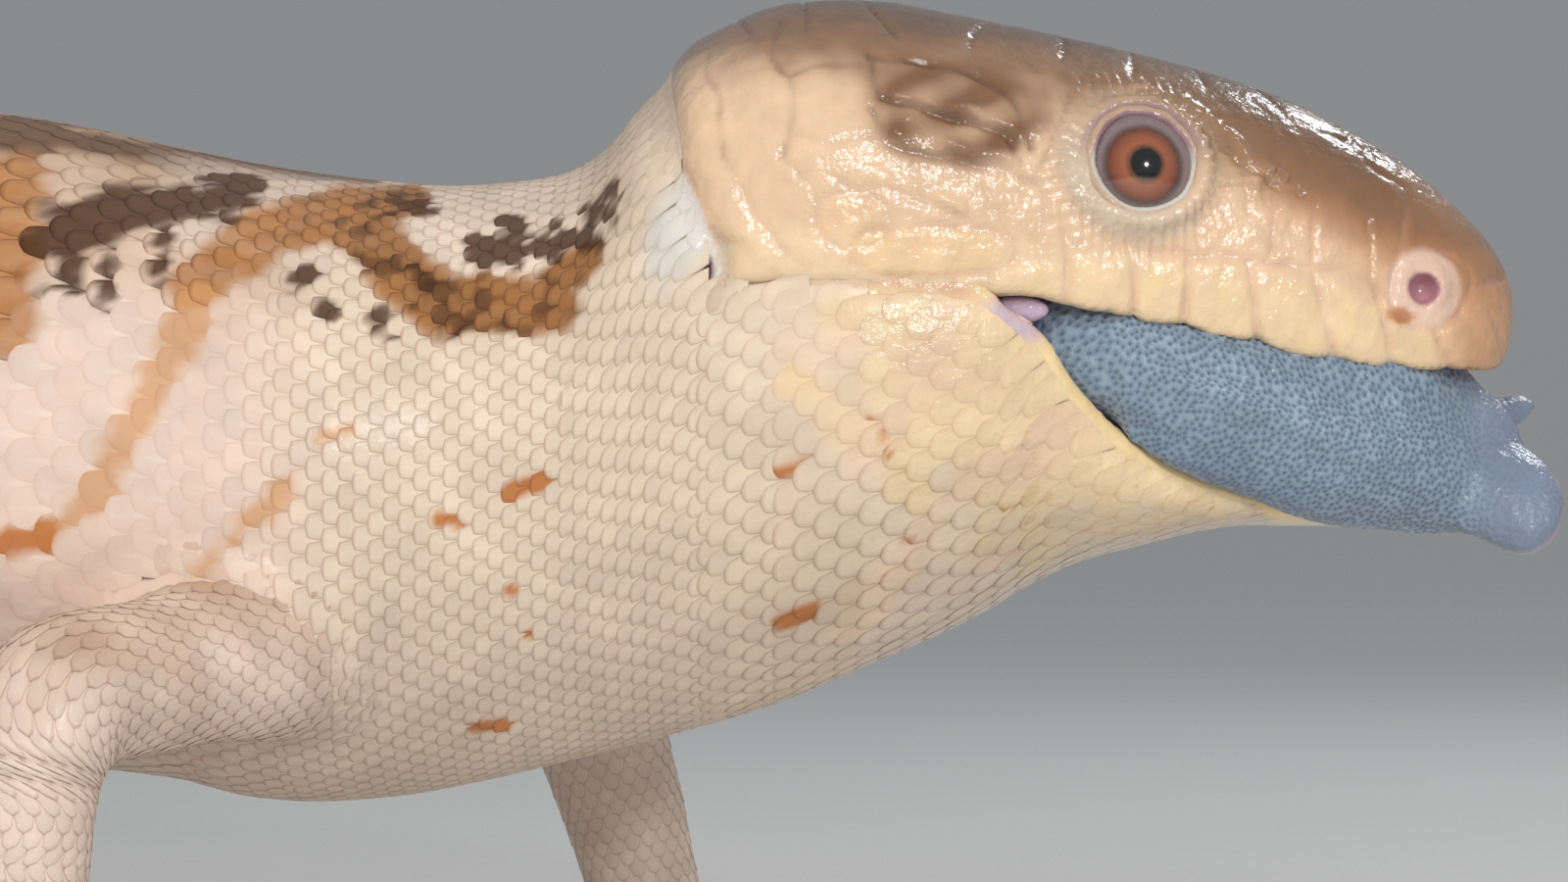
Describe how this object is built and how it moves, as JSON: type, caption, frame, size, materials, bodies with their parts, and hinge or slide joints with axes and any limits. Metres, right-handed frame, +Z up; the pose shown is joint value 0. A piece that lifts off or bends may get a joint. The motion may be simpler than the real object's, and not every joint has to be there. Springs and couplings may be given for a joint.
{
  "type": "blue tongued skink",
  "caption": "Life-size still model of a blue-tongued skink standing on its forelegs with its chest raised, mouth open and broad blue tongue hanging out.",
  "frame": {"origin": "middle of the footprint, on the floor", "axes": "+X the way the head points, +Y the animal's left, +Z up"},
  "size_m": [0.4508, 0.1804, 0.0756],
  "materials": {
    "skin": "smooth scales with a soft gloss, cream with brown and orange bands",
    "tongue": "wet, steel blue",
    "eye": "wet gloss, rust iris"
  },
  "bodies": {
    "root": {"head": "skin", "lower_jaw": "skin", "tongue": "tongue", "eye_right": "eye", "eye_left": "eye", "ear_right": "skin", "ear_left": "skin", "neck": "skin", "chest": "skin", "belly": "skin", "hips": "skin", "tail_base": "skin", "tail_middle": "skin", "tail_tip": "skin", "upper_arm_right": "skin", "forearm_right": "skin", "forefoot_right": "skin", "upper_arm_left": "skin", "forearm_left": "skin", "forefoot_left": "skin", "thigh_right": "skin", "shank_right": "skin", "hindfoot_right": "skin", "thigh_left": "skin", "shank_left": "skin", "hindfoot_left": "skin"}
  },
  "joints": []
}
